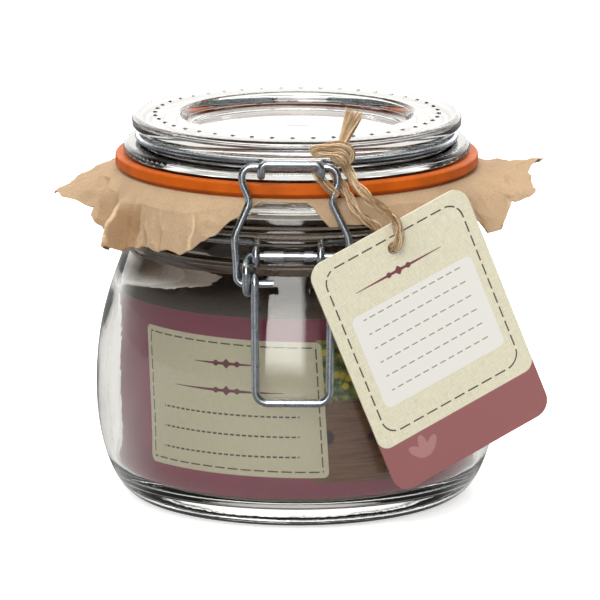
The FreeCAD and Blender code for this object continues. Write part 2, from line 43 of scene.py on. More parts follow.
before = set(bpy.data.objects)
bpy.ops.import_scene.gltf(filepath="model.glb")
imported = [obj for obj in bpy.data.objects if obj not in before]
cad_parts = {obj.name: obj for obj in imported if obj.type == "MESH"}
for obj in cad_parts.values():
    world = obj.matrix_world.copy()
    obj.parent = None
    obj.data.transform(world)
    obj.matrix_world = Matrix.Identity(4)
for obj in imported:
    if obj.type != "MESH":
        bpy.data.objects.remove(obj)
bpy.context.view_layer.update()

MM = 0.001
AXIS_X = Vector((1, 0, 0))
AXIS_Z = Vector((0, 0, 1))

seal_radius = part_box("seal_ring")[1][0]
sleeve_low, sleeve_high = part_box("card_sleeve")
sleeve_radius, _, sleeve_top = sleeve_high
sleeve_foot = sleeve_low[2]
link_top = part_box("link_wire")[1][2]


# ---------------------------------------------------------------- materials
class Nodes:
    """A node tree being put together, with one short call for each kind of step."""

    def __init__(self, tree):
        self.tree = tree
        tree.nodes.clear()

    def fill(self, target, value):
        """Link a socket to another, or set its value, with full opacity where a colour leaves it out."""
        if value is None:
            return
        if isinstance(value, bpy.types.NodeSocket):
            self.tree.links.new(value, target)
        elif isinstance(target.default_value, float):
            target.default_value = value
        elif len(target.default_value) == 4 and len(value) == 3:
            target.default_value = (*value, 1.0)
        else:
            target.default_value = value

    def add(self, kind, *values, out=0, **settings):
        """Add a node, fill its inputs in order or by name, and return one of its outputs."""
        node = self.tree.nodes.new(kind)
        for key, value in settings.items():
            if hasattr(node, key):
                setattr(node, key, value)
        for target, value in zip(node.inputs, values):
            self.fill(target, value)
        for key, value in settings.items():
            if not hasattr(node, key):
                self.fill(node.inputs[key.replace("_", " ")], value)
        return node.outputs[out]

    def math(self, operation, *values):
        """One step of arithmetic."""
        return self.add("ShaderNodeMath", *values, operation=operation)

    def split(self, vector):
        """The three parts of a vector."""
        node = self.tree.nodes.new("ShaderNodeSeparateXYZ")
        self.fill(node.inputs[0], vector)
        return node.outputs[0], node.outputs[1], node.outputs[2]

    def join(self, x, y):
        """A vector of two parts."""
        return self.add("ShaderNodeCombineXYZ", x, y)

    def azimuth(self, x, y):
        """Angle round the jar from its clasp, in radians."""
        return self.math("ARCTAN2", x, self.math("MULTIPLY", y, -1.0))

    def degrees(self, angle):
        """An angle in degrees."""
        return self.math("MULTIPLY", angle, math.degrees(1))

    def hypot(self, x, y):
        """Length of a step with these two parts."""
        return self.math("SQRT", self.math("ADD", self.math("MULTIPLY", x, x), self.math("MULTIPLY", y, y)))

    def noise(self, vector, scale, detail=3.0, roughness=0.55):
        """Cloudy pattern, from 0 to 1."""
        return self.add("ShaderNodeTexNoise", Vector=vector, Scale=scale, Detail=detail, Roughness=roughness,
                        out="Fac")

    def spread(self, value, low, high, to_low=0.0, to_high=1.0):
        """Stretch a value from one range to another and clamp it."""
        return self.add("ShaderNodeMapRange", value, low, high, to_low, to_high)

    def mix(self, share, first, second):
        """A colour between two; a Mix node keeps its colour sockets sixth and seventh."""
        node = self.tree.nodes.new("ShaderNodeMix")
        node.data_type = "RGBA"
        self.fill(node.inputs["Factor"], share)
        self.fill(node.inputs[6], first)
        self.fill(node.inputs[7], second)
        return node.outputs[2]

    def both(self, *shares):
        """1 where every share is 1."""
        whole = shares[0]
        for share in shares[1:]:
            whole = self.math("MULTIPLY", whole, share)
        return whole

    def within(self, distance, soft=0.06):
        """1 where a distance is below zero."""
        return self.spread(distance, -soft, soft, 1.0, 0.0)

    def between(self, value, low, high, soft=0.06):
        """1 where a value lies between two others."""
        middle, half = (low + high) / 2, (high - low) / 2
        away = self.math("ABSOLUTE", self.math("SUBTRACT", value, middle))
        return self.within(self.math("SUBTRACT", away, half), soft)


class Finish(Nodes):
    """A material being put together around one Principled shader."""

    def __init__(self, name, **settings):
        self.material = bpy.data.materials.new(name)
        self.material.use_nodes = True
        super().__init__(self.material.node_tree)
        self.shader = self.tree.nodes.new("ShaderNodeBsdfPrincipled")
        end = self.tree.nodes.new("ShaderNodeOutputMaterial")
        self.tree.links.new(self.shader.outputs[0], end.inputs["Surface"])
        self.set(**settings)

    def set(self, **settings):
        """Set or link the shader's sockets, named with underscores for spaces."""
        for name, value in settings.items():
            self.fill(self.shader.inputs[name.replace("_", " ")], value)

    def place(self, location=(0, 0, 0), turn=(0, 0, 0), size=(MM, MM, MM)):
        """Object coordinates in millimetres, seen from a place and turn on the piece."""
        coordinates = self.add("ShaderNodeTexCoord", out="Object")
        return self.add("ShaderNodeMapping", coordinates, location, turn, size, vector_type="TEXTURE")

    def bump(self, height, distance, strength):
        """Relief too fine for the mesh."""
        self.set(Normal=self.add("ShaderNodeBump", Strength=strength, Distance=distance, Height=height))

    def dashes(self, along, dash, gap):
        """1 on the dashes of a broken line and 0 in its gaps."""
        share = self.math("FRACT", self.math("DIVIDE", along, dash + gap))
        return self.math("LESS_THAN", share, dash / (dash + gap))

    def box_edge(self, x, y, low, high, corner):
        """Distance outside a rounded rectangle, less than zero inside, and the place along its border."""
        over = []
        for value, start, end in ((x, low[0], high[0]), (y, low[1], high[1])):
            away = self.math("ABSOLUTE", self.math("SUBTRACT", value, (start + end) / 2))
            over.append(self.math("SUBTRACT", away, (end - start) / 2 - corner))
        outside = [self.math("MAXIMUM", value, 0.0) for value in over]
        inside = self.math("MINIMUM", self.math("MAXIMUM", *over), 0.0)
        edge = self.math("SUBTRACT", self.math("ADD", self.hypot(*outside), inside), corner)
        upright = self.math("GREATER_THAN", *over)
        along = self.math("ADD", x, self.math("MULTIPLY", upright, self.math("SUBTRACT", y, x)))
        return edge, along

    def stitches(self, edge, along, inset, dash, gap, width):
        """Broken line that runs inside a border."""
        away = self.math("ABSOLUTE", self.math("ADD", edge, inset))
        return self.both(self.within(self.math("SUBTRACT", away, width / 2)), self.dashes(along, dash, gap))

    def ruled(self, y, start, pitch, thin):
        """1 on lines that repeat up a coordinate."""
        share = self.math("FRACT", self.math("DIVIDE", self.math("SUBTRACT", y, start), pitch))
        return self.spread(self.math("ABSOLUTE", self.math("SUBTRACT", share, 0.5)), thin, 0.05, 1.0, 0.0)

    def linen(self, x, y, pitch):
        """Woven ground, from 0 to 1, on two coordinates in millimetres."""
        weave = self.math("MULTIPLY", self.math("SINE", self.math("MULTIPLY", x, math.tau / pitch)),
                          self.math("SINE", self.math("MULTIPLY", y, math.tau / pitch)))
        slubs = [self.noise(self.join(self.math("MULTIPLY", x, a), self.math("MULTIPLY", y, b)), 1.0, 4.0)
                 for a, b in ((0.35, 3.2), (3.2, 0.35))]
        slub = self.math("ADD", *slubs)
        return self.math("ADD", self.math("MULTIPLY", weave, 0.12), self.math("MULTIPLY", slub, 0.5))


def scaled(colour, share):
    """A colour made darker."""
    return tuple(share * value for value in colour)


def srgb(red, green, blue):
    """A colour given as display values from 0 to 255, as linear light."""
    def linear(value):
        value /= 255.0
        return value / 12.92 if value <= 0.04045 else ((value + 0.055) / 1.055) ** 2.4
    return linear(red), linear(green), linear(blue)


# ---------------------------------------------------------------- meshes
def finished(name, mesh, material, body, smooth=True):
    """Turn a bmesh into a piece that rides on a CAD body."""
    data = bpy.data.meshes.new(name)
    mesh.to_mesh(data)
    mesh.free()
    piece = bpy.data.objects.new(name, data)
    bpy.context.scene.collection.objects.link(piece)
    if smooth:
        data.shade_smooth()
    data.materials.append(material)
    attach(piece, body)
    return piece


def dress(node, material):
    """Give a CAD node its finish."""
    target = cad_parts[node]
    for slot in target.material_slots:
        slot.material = material


# ---------------------------------------------------------------- settings
class StageSettings(bpy.types.PropertyGroup):
    """Camera and floor"""
    camera_distance: FloatProperty(name="Camera distance", description="From the jar's middle", default=1.6,
                                   unit="LENGTH")
    camera_height: FloatProperty(name="Camera elevation", description="Angle above the horizon",
                                 default=math.radians(12.0), subtype="ANGLE")
    camera_turn: FloatProperty(name="Camera azimuth", description="Angle round the jar from its clasp",
                               default=math.radians(1.6), subtype="ANGLE")
    camera_lens: FloatProperty(name="Focal length", description="Of the camera, in millimetres", default=364.8)
    floor_colour: FloatVectorProperty(name="Floor", description="Colour of the floor", default=(0.9, 0.9, 0.9),
                                      subtype="COLOR")


class JarSettings(bpy.types.PropertyGroup):
    """Colours and sizes of the pieces"""
    glass_colour: FloatVectorProperty(name="Glass", description="Tint of the glass", default=(0.965, 0.98, 0.97),
                                      subtype="COLOR")
    # glass seen edge on is darkened: partly its green tint, partly painted shade
    glass_edge_tint_and_shade: FloatVectorProperty(name="Glass edge", description="Tint of glass seen edge on",
                                           default=(0.05, 0.07, 0.07), subtype="COLOR")
    seal_colour: FloatVectorProperty(name="Seal", description="Colour of the rubber ring",
                                     default=srgb(202, 92, 8), subtype="COLOR")
    wire_colour: FloatVectorProperty(name="Wire", description="Colour of the steel wire",
                                     default=(0.5, 0.54, 0.58), subtype="COLOR")
    paper_colour: FloatVectorProperty(name="Paper", description="Colour of the kraft paper",
                                      default=srgb(194, 166, 134), subtype="COLOR")
    paper_creases: FloatProperty(name="Creases", description="Height of the paper's creases", default=1.0 * MM,
                                 unit="LENGTH")
    sleeve_colour: FloatVectorProperty(name="Card sleeve", description="Ground colour of the printed sleeve",
                                       default=srgb(146, 70, 90), subtype="COLOR")
    tag_colour: FloatVectorProperty(name="Tag", description="Ground colour of the tag",
                                    default=srgb(243, 238, 212), subtype="COLOR")
    band_colour: FloatVectorProperty(name="Tag band", description="Colour of the band at the tag's foot",
                                     default=srgb(158, 104, 104), subtype="COLOR")
    twine_colour: FloatVectorProperty(name="Twine", description="Colour of the twine",
                                      default=srgb(250, 228, 192), subtype="COLOR")
    twine_diameter: FloatProperty(name="Twine", description="Thickness of the twine", default=2.0 * MM,
                                  unit="LENGTH")


# ---------------------------------------------------------------- stage
SOFT_BOXES = (
    # direction round the jar from its clasp, height, half width and half height in degrees, and strength
    (-6.5, 32.0, 12.0, 26.0, 8.0),
    (-118.0, 48.0, 5.0, 10.0, 7.0),
    (118.0, 48.0, 5.0, 10.0, 7.0),
    (170.0, 45.0, 12.0, 20.0, 3.0),
)
LAMPS = (
    # name, place and size in metres, power in watts
    ("key_left", (-0.9, -1.0, 0.9), (0.5, 0.9), 7.5),
    ("fill_right", (1.1, -0.7, 0.8), (0.5, 0.6), 3.2),
    ("top", (0.0, 0.2, 1.4), (1.2, 1.2), 8.0),
)
STAGE_TARGET = Vector((0.84, 0, 51.0)) * MM
SENSOR_WIDTH = 36.0
FARTHEST_SEEN = 50.0
FLOOR_RADIUS = 6.0
WARM_WHITE = (1.0, 0.985, 0.955)
WHITE = (1.0, 1.0, 1.0)


def studio():
    """World that the camera sees as plain white, and that glass and wire reflect as a lit studio."""
    world = bpy.data.worlds.new("studio")
    world.use_nodes = True
    sky = Nodes(world.node_tree)
    x, y, z = sky.split(sky.add("ShaderNodeTexCoord", out="Generated"))
    height = sky.degrees(sky.math("ARCSINE", z))
    turn = sky.degrees(sky.azimuth(x, y))
    behind = sky.spread(sky.math("ABSOLUTE", turn), 120.0, 150.0)
    low = sky.spread(height, 24.0, 36.0, 1.0, 0.1)
    back = sky.math("MULTIPLY_ADD", sky.both(behind, low), 2.3, 0.07)
    light = sky.math("MAXIMUM", back, sky.spread(height, 50.0, 78.0, 0.0, 1.1))
    for middle, rise, half_width, half_height, strength in SOFT_BOXES:
        window = sky.both(sky.between(turn, middle - half_width, middle + half_width, 2.0),
                          sky.between(height, rise - half_height, rise + half_height, 3.0))
        light = sky.math("ADD", light, sky.math("MULTIPLY", window, strength))
    through_glass = sky.math("ADD", sky.math("MULTIPLY", light, 0.35), 0.6)
    light = sky.spread(sky.add("ShaderNodeLightPath", out="Is Transmission Ray"), 0.0, 1.0, light, through_glass)
    light = sky.spread(sky.add("ShaderNodeLightPath", out="Is Camera Ray"), 0.0, 1.0, light, 1.1)
    background = sky.add("ShaderNodeBackground", Color=WARM_WHITE, Strength=light)
    end = sky.tree.nodes.new("ShaderNodeOutputWorld")
    sky.tree.links.new(background, end.inputs["Surface"])
    return world


class JAR_OT_stage(bpy.types.Operator):
    """Make the camera, the lights and the floor"""
    bl_idname = "jar.stage"
    bl_label = "Stage"

    def execute(self, context):
        settings = context.scene.jar_stage
        flat = math.cos(settings.camera_height) * settings.camera_distance
        offset = Vector((flat * math.sin(settings.camera_turn), -flat * math.cos(settings.camera_turn),
                         settings.camera_distance * math.sin(settings.camera_height)))
        data = bpy.data.cameras.new("camera")
        data.lens = settings.camera_lens
        data.sensor_width = SENSOR_WIDTH
        data.clip_end = FARTHEST_SEEN
        camera = bpy.data.objects.new("camera", data)
        camera.location = STAGE_TARGET + offset
        camera.rotation_euler = offset.to_track_quat("Z", "Y").to_euler()
        context.scene.collection.objects.link(camera)
        context.scene.camera = camera

        floor_mesh = bmesh.new()
        bmesh.ops.create_circle(floor_mesh, cap_ends=True, segments=96, radius=FLOOR_RADIUS)
        data = bpy.data.meshes.new("floor")
        floor_mesh.to_mesh(data)
        floor_mesh.free()
        floor = bpy.data.objects.new("floor", data)
        context.scene.collection.objects.link(floor)
        data.materials.append(self.plain(settings))

        for name, place, size, power in LAMPS:
            light = bpy.data.lights.new(name, "AREA")
            light.shape = "RECTANGLE"
            light.size, light.size_y = size
            light.energy = power
            lamp = bpy.data.objects.new(name, light)
            lamp.location = place
            lamp.rotation_euler = (Vector(place) - STAGE_TARGET).to_track_quat("Z", "Y").to_euler()
            lamp.visible_glossy = False
            lamp.visible_transmission = False
            context.scene.collection.objects.link(lamp)

        context.scene.world = studio()
        context.scene.view_settings.view_transform = "Standard"
        return {"FINISHED"}

    def plain(self, settings):
        """Pale floor with a painted glow that lights the jar. Its bounce comes mostly from the jar's two sides, and
        clear glass shows it pale all round.
        """
        finish = Finish("floor", Roughness=0.7)
        x, y, _ = finish.split(finish.add("ShaderNodeTexCoord", out="Object"))
        turn = finish.math("ABSOLUTE", finish.azimuth(x, y))
        beside = finish.both(finish.spread(turn, math.radians(58), math.radians(76), 0.0, 1.0),
                             finish.spread(turn, math.radians(94), math.radians(106), 1.0, 0.0))
        # painted glow standing in for bounce light, strongest beside the jar
        bounce = finish.spread(beside, 0.0, 1.0, 0.14, 0.6)
        seen = finish.add("ShaderNodeLightPath", out="Is Camera Ray")
        through = finish.add("ShaderNodeLightPath", out="Is Transmission Ray")
        bounce = finish.spread(through, 0.0, 1.0, bounce, 0.74)
        floor_colour = tuple(settings.floor_colour)
        finish.set(Base_Color=finish.mix(seen, (0.05, 0.05, 0.05), floor_colour),
                   Emission_Color=finish.mix(through, WHITE, (1.0, 0.95, 0.9)),
                   Emission_Strength=finish.spread(seen, 0.0, 1.0, bounce, 0.5))
        return finish.material


# ---------------------------------------------------------------- twine
FIBRE_THICKNESS = 0.24 * MM
HAIR_THICKNESS = 0.09 * MM
HAIR_REACH = 2.2 * MM
TAIL_FIBRES = 260
TWINE_HAIRS = 46
KNOT_HAIRS = 9
KNOT_HAIR_REACH = 2.0 * MM
TWIST_SEED = 7
# middle of the knot, with its height above the link
KNOT_PLACE = (10.6 * MM, -47.9 * MM, 2.95 * MM)
TWINE_ROUTE = (
    # centre line from the knot through the tag's hole and back, in metres
    (0.01380, -0.04870, 0.09680),
    (0.01500, -0.04970, 0.09260),
    (0.01990, -0.05130, 0.08800),
    (0.02656, -0.05080, 0.08316),
    (0.02755, -0.05109, 0.07935),
    (0.02678, -0.05091, 0.07517),
    (0.02502, -0.04732, 0.07517),
    (0.02294, -0.04800, 0.07925),
    (0.01660, -0.04920, 0.08410),
    (0.01400, -0.04780, 0.08890),
    (0.01130, -0.04630, 0.09280),
    (0.01020, -0.04610, 0.09590),
)


def centre_line(points):
    """Points along the smooth line of a route."""
    data = bpy.data.curves.new("route", "CURVE")
    data.dimensions = "3D"
    spline = data.splines.new("NURBS")
    spline.points.add(len(points) - 1)
    for point, place in zip(spline.points, points):
        point.co = (*place, 1.0)
    spline.order_u = 3
    spline.use_endpoint_u = True
    spline.resolution_u = 10
    route = bpy.data.objects.new("route", data)
    bpy.context.scene.collection.objects.link(route)
    line = bpy.data.meshes.new_from_object(route)
    places = [vertex.co.copy() for vertex in line.vertices]
    bpy.data.objects.remove(route)
    bpy.data.meshes.remove(line)
    return places


def stations(line):
    """Each point of a line with its length so far and two directions across it, which turn as little as can be."""
    length = 0.0
    side = AXIS_Z
    result = []
    for index, place in enumerate(line):
        ahead = line[min(index + 1, len(line) - 1)] - line[max(index - 1, 0)]
        along = ahead.normalized()
        side = (side - along * side.dot(along)).normalized()
        if index:
            length += (place - line[index - 1]).length
        result.append((place, length, side, along.cross(side)))
    return result


class Fibres:
    """Thin round fibres gathered into one mesh."""

    def __init__(self, thickness):
        self.data = bpy.data.curves.new("fibres", "CURVE")
        self.data.dimensions = "3D"
        self.data.bevel_depth = thickness / 2
        self.data.bevel_resolution = 0
        self.data.use_fill_caps = True

    def add(self, places, widths):
        """Add one fibre, with its width at each place as a share of the thickness."""
        spline = self.data.splines.new("POLY")
        spline.points.add(len(places) - 1)
        for point, place, width in zip(spline.points, places, widths):
            point.co = (*place, 1.0)
            point.radius = width

    def mesh(self):
        """All the fibres as one bmesh."""
        bundle = bpy.data.objects.new("fibres", self.data)
        bpy.context.scene.collection.objects.link(bundle)
        tubes = bpy.data.meshes.new_from_object(bundle)
        made = bmesh.new()
        made.from_mesh(tubes)
        bpy.data.objects.remove(bundle)
        bpy.data.meshes.remove(tubes)
        return made


def spin_cord(fibres, line, radius, rng, plies=3, per_ply=13, pitch=15.0 * MM, loose=0.14):
    """Wind plies of fibres round a line, as jute twine is twisted."""
    spots = stations(line)
    ply_radius = radius * 0.7
    ply_offset = radius * 0.56
    for ply in range(plies):
        for fibre in range(per_ply):
            reach = ply_radius * (0.78 + 0.2 * rng.random()) * (1.0 if fibre % 3 else 0.5)
            start = math.tau * fibre / per_ply
            wander = rng.random() * 40
            places = []
            widths = []
            for place, length, side, across in spots:
                turn = math.tau * (length / pitch + ply / plies)
                own = start - turn * 0.6 + 0.5 * math.sin(wander + length / (3.1 * MM))
                puff = 1.0 + loose * math.sin(wander * 2 + length / (1.7 * MM))
                u = ply_offset * math.cos(turn) + reach * puff * math.cos(own)
                v = ply_offset * math.sin(turn) + reach * puff * math.sin(own)
                places.append(place + side * u + across * v)
                widths.append(0.8 + 0.35 * math.sin(wander + length / (2.3 * MM)))
            fibres.add(places, widths)


def stray_hairs(fibres, line, radius, rng, count, reach):
    """Short hairs that stand off a cord."""
    spots = stations(line)
    for _ in range(count):
        place, _, side, across = rng.choice(spots[2:-2])
        turn = rng.random() * math.tau
        out = side * math.cos(turn) + across * math.sin(turn)
        along = out.cross(side if abs(out.dot(side)) < 0.7 else across).normalized()
        size = reach * (0.4 + 0.6 * rng.random())
        curl = rng.uniform(-0.6, 0.6)
        places = []
        for step in range(5):
            share = step / 4
            places.append(place + out * (radius * 0.8 + size * share * 0.6)
                          + along * size * (share * 1.2 + curl * share * share))
        fibres.add(places, [0.7, 0.6, 0.5, 0.4, 0.25])


def jute(settings):
    """Tan fibres, each a little lighter or darker than the next."""
    finish = Finish("jute", Roughness=0.75, Specular_IOR_Level=0.25)
    place = finish.place()
    shade = finish.noise(place, 1.6, 3.0)
    own = finish.add("ShaderNodeNewGeometry", out="Random Per Island")
    pale = finish.mix(finish.spread(shade, 0.35, 0.65, 0.5, 1.0), srgb(206, 168, 122), tuple(settings.twine_colour))
    finish.set(Base_Color=finish.mix(own, srgb(142, 104, 64), pale))
    finish.bump(finish.noise(place, 6.0, 2.0), 0.05 * MM, 0.5)
    return finish.material


class JAR_OT_twine(bpy.types.Operator):
    """Make the twine that holds the tag, its knot and its frayed tail"""
    bl_idname = "jar.twine"
    bl_label = "Twine"

    def execute(self, context):
        settings = context.scene.jar
        radius = settings.twine_diameter / 2
        material = jute(settings)
        rng = random.Random(TWIST_SEED)
        line = centre_line(TWINE_ROUTE)
        fibres = Fibres(FIBRE_THICKNESS)
        spin_cord(fibres, line, radius * 1.12, rng)
        twine = finished("twine", fibres.mesh(), material, "tag")
        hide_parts("twine_loop")
        hairs = Fibres(HAIR_THICKNESS)
        stray_hairs(hairs, line, radius, rng, TWINE_HAIRS, HAIR_REACH)
        finished("twine_hairs", hairs.mesh(), material, "tag")
        self.knot(material, radius, rng)
        return {"FINISHED"}

    def knot(self, material, radius, rng):
        """Turns of the twine on the link's corner, the lobe and strand beside them, and the tail."""
        right, front, above = KNOT_PLACE
        centre = Vector((right, front, link_top + above))
        fibres = Fibres(FIBRE_THICKNESS)

        def near(*points):
            return centre_line([tuple(centre + Vector(point) * MM) for point in points])

        routes = [
            near((-4.4, 0.1, -0.4), (-5.4, 0.0, 0.2), (-4.0, -0.7, 1.0), (-1.4, -1.5, 1.5), (1.4, -2.1, 2.1),
                 (3.9, -1.9, 1.4), (5.0, -1.4, -0.4), (4.2, -1.0, -2.2)),
            near((-4.6, 0.1, -0.5), (-3.0, -0.9, -0.3), (-0.8, -2.1, 0.0), (1.4, -3.0, 0.3), (3.2, -2.9, -0.8),
                 (3.5, -2.0, -2.6)),
            near((0.0, -1.0, -0.9), (1.0, -2.8, -1.2), (2.3, -3.1, -2.1), (2.8, -1.9, -3.4)),
            near((0.4, -0.3, 1.2), (2.4, -0.4, 1.7), (4.0, -0.5, 0.4), (3.6, -0.6, -1.8)),
            near((-5.0, 0.8, -3.8), (-4.2, -0.4, -5.6), (-2.4, -1.6, -7.8), (-0.6, -1.7, -9.6), (1.2, -1.4, -11.0)),
        ]
        for route in routes:
            spin_cord(fibres, route, radius * 0.98, rng, pitch=24.0 * MM, loose=0.1)
            stray_hairs(fibres, route, radius, rng, KNOT_HAIRS, KNOT_HAIR_REACH)
        foot = centre + Vector((2.0, -0.9, 1.2)) * MM
        top = centre + Vector((5.6, 0.3, 10.6)) * MM
        rise = (top - foot).normalized()
        side = (AXIS_X - rise * AXIS_X.dot(rise)).normalized()
        across = rise.cross(side)
        for _ in range(TAIL_FIBRES):
            turn = rng.random() * math.tau
            spread = math.sqrt(rng.random())
            long = rng.uniform(0.74, 1.04) if rng.random() > 0.1 else rng.uniform(0.4, 0.7)
            bend = rng.uniform(-0.5, 0.5) * MM
            places = []
            for step in range(9):
                share = step / 8 * long
                swell = (1.15 + 1.5 * share ** 1.5) * spread * MM
                swirl = turn + 0.5 * share
                places.append(foot.lerp(top, share) + side * (swell * math.cos(swirl) + bend * share * share)
                              + across * swell * 0.8 * math.sin(swirl))
            fibres.add(places, [1.0] * 6 + [0.8, 0.6, 0.3])
        knot = finished("knot", fibres.mesh(), material, "link")
        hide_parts("twine_knot")


# ---------------------------------------------------------------- glass and rubber
# heights and colour of the painted shade in the neck: the jar's dark shaded inside, fixed in the glass's colour
NECK_HEIGHTS = (56.0, 81.0)
NECK_PAINTED_SHADE = (0.2, 0.17, 0.145)


def glass(name, colour, edge_tint_and_shade, ripple_height, neck=None):
    """Clear pressed glass, darker where it is seen edge on, partly from its green tint and partly as painted shade,
    with the faint ripple of a mould.

    With a neck, which is two heights and a colour, it has painted shade between them, the jar's dark shaded inside
    fixed in the glass's colour, and is a little grey in its base.
    """
    finish = Finish(name, Roughness=0.0, IOR=1.5, Transmission_Weight=1.0)
    # painted shade, with a little green tint, where the glass is seen edge on
    facing = finish.add("ShaderNodeLayerWeight", 0.5, out="Facing")
    edge = finish.spread(facing, 0.88, 0.99)
    place = finish.place()
    if neck:
        (low, high), neck_shade_colour = neck
        z = finish.split(place)[2]
        colour = finish.mix(finish.spread(z, 5.0, 9.0), scaled(colour, 0.84), colour)
        # painted shade between the neck's two heights
        painted_neck_shade = finish.both(finish.spread(z, low, low + 7.0), finish.spread(z, high - 1.0, high, 1.0, 0.0))
        colour = finish.mix(painted_neck_shade, colour, neck_shade_colour)
    finish.set(Base_Color=finish.mix(edge, colour, edge_tint_and_shade))
    fine = finish.math("MULTIPLY", finish.noise(place, 0.4, 2.0), 0.06)
    ripple = finish.math("ADD", finish.noise(place, 0.05, 1.0), fine)
    finish.bump(ripple, ripple_height, 0.6)
    return finish.material


class JAR_OT_glass(bpy.types.Operator):
    """Finish the glass jar and its lid"""
    bl_idname = "jar.glass"
    bl_label = "Glass"

    def execute(self, context):
        settings = context.scene.jar
        tint = tuple(settings.glass_colour)
        edge = tuple(settings.glass_edge_tint_and_shade)
        dress("jar_body", glass("jar_glass", tint, edge, 0.35 * MM, neck=(NECK_HEIGHTS, NECK_PAINTED_SHADE)))
        dress("lid", glass("lid_glass", scaled(tint, 0.985), edge, 0.08 * MM))
        return {"FINISHED"}


class JAR_OT_seal(bpy.types.Operator):
    """Finish the rubber ring"""
    bl_idname = "jar.seal"
    bl_label = "Seal"

    def execute(self, context):
        colour = tuple(context.scene.jar.seal_colour)
        finish = Finish("rubber", Roughness=0.55, Specular_IOR_Level=0.22, Subsurface_Weight=0.08,
                        Subsurface_Radius=(1.0, 0.3, 0.1), Subsurface_Scale=1.5 * MM)
        place = finish.place()
        cloud = finish.noise(place, 0.12, 3.0)
        finish.set(Base_Color=finish.mix(finish.spread(cloud, 0.35, 0.7), colour, scaled(colour, 0.72)))
        mould_lines = finish.noise(finish.place(size=(4 * MM, 4 * MM, 0.35 * MM)), 0.8, 2.0)
        grain = finish.noise(place, 5.0, 3.0)
        finish.bump(finish.math("ADD", mould_lines, finish.math("MULTIPLY", grain, 0.4)), 0.06 * MM, 0.6)
        dress("seal_ring", finish.material)
        return {"FINISHED"}


# ---------------------------------------------------------------- wires
class JAR_OT_clasp(bpy.types.Operator):
    """Finish the steel wires and the little tubes on the axle"""
    bl_idname = "jar.clasp"
    bl_label = "Clasp"

    def execute(self, context):
        colour = tuple(context.scene.jar.wire_colour)
        for name, roughness, nodes in (
            ("steel_wire", 0.2, ("neck_wire", "lid_wire", "link_wire", "lever_wire")),
            ("steel_tube", 0.3, ("axle_sleeve_left", "axle_sleeve_right")),
        ):
            finish = Finish(name, Metallic=1.0)
            place = finish.place()
            patch = finish.noise(place, 0.5, 4.0, 0.6)
            scratch = finish.noise(place, 9.0, 3.0)
            finish.set(Base_Color=finish.mix(finish.spread(patch, 0.4, 0.75), colour, scaled(colour, 0.62)),
                       Roughness=finish.spread(patch, 0.3, 0.8, roughness, roughness + 0.14))
            height = finish.math("ADD", finish.noise(place, 0.35, 1.0), finish.math("MULTIPLY", scratch, 0.04))
            finish.bump(height, 0.03 * MM, 0.35)
            for node in nodes:
                dress(node, finish.material)
        return {"FINISHED"}


# ---------------------------------------------------------------- paper skirt
PAPER_TUGS = (
    # where the free edge is torn or bent: degrees from the clasp, half width, out and down in millimetres
    (-91.0, 4.0, 3.6, 1.8),
    (-86.5, 1.6, 2.2, 0.4),
    (-84.0, 1.2, 0.8, 0.2),
    (-77.0, 7.0, -4.4, -3.4),
    (-68.5, 4.0, -2.0, -2.2),
    (-59.5, 6.0, 1.2, 2.4),
    (-50.0, 4.0, -1.4, -1.8),
    (-40.0, 6.0, 0.4, 1.4),
    (-30.0, 6.0, -0.6, 2.2),
    (66.0, 4.0, 1.6, 2.4),
    (72.0, 4.0, -1.6, -1.0),
    (77.0, 4.0, 1.4, 0.0),
    (82.0, 4.0, -1.8, 0.0),
    (88.0, 4.0, 1.2, 0.0),
)
PAPER_FOLDS = (
    # sharp folds that run down from the seal: degrees from the clasp, half width, height in millimetres
    (-80.0, 4.0, -1.6),
    (-71.0, 3.5, 2.4),
    (-65.0, 3.5, -2.6),
    (-59.5, 3.0, 3.4),
    (-52.5, 5.0, -3.2),
    (-45.0, 3.0, 1.4),
    (-31.0, 1.8, 1.3),
    (-20.0, 3.0, -1.3),
    (20.0, 3.0, 1.4),
    (58.0, 2.5, 1.6),
    (63.0, 2.5, -2.2),
    (70.0, 3.0, 1.6),
    (80.0, 3.5, -1.0),
    (104.0, 4.0, 1.5),
    (118.0, 4.0, -1.5),
    (141.0, 5.0, 2.0),
    (165.0, 4.0, -1.6),
    (-112.0, 4.0, 1.6),
    (-128.0, 4.0, -1.6),
    (-150.0, 5.0, 1.8),
    (-170.0, 4.0, -1.4),
)
PAPER_FOLD_PAINTED_LIGHT = (
    # painted shade on the faces of the folds and painted highlights on their ridges: from and to in degrees from
    # the clasp, strength, colour
    (-68.0, -61.5, 0.5, srgb(150, 120, 88)),
    (-57.6, -56.4, 0.4, srgb(240, 216, 180)),
    (-56.4, -49.0, 0.8, srgb(146, 114, 82)),
    (-28.7, -28.2, 0.45, srgb(244, 222, 188)),
    (-28.2, -27.2, 0.45, srgb(166, 134, 98)),
    (24.0, 27.0, 0.4, srgb(170, 138, 102)),
    (63.0, 66.0, 0.5, srgb(168, 134, 98)),
    (72.0, 72.8, 0.5, srgb(240, 216, 180)),
    (-114.0, -110.0, 0.45, srgb(168, 134, 98)),
    (-152.0, -148.0, 0.4, srgb(168, 134, 98)),
    (120.0, 124.0, 0.45, srgb(168, 134, 98)),
    (146.0, 147.0, 0.5, srgb(240, 216, 180)),
)
PAPER_MESH = 1.4 * MM
PAPER_PASSES = 6


def fold(azimuth):
    """Height of the sharp folds at an azimuth."""
    return sum(height * max(0.0, 1.0 - abs(math.degrees(azimuth) - middle) / half_width)
               for middle, half_width, height in PAPER_FOLDS)


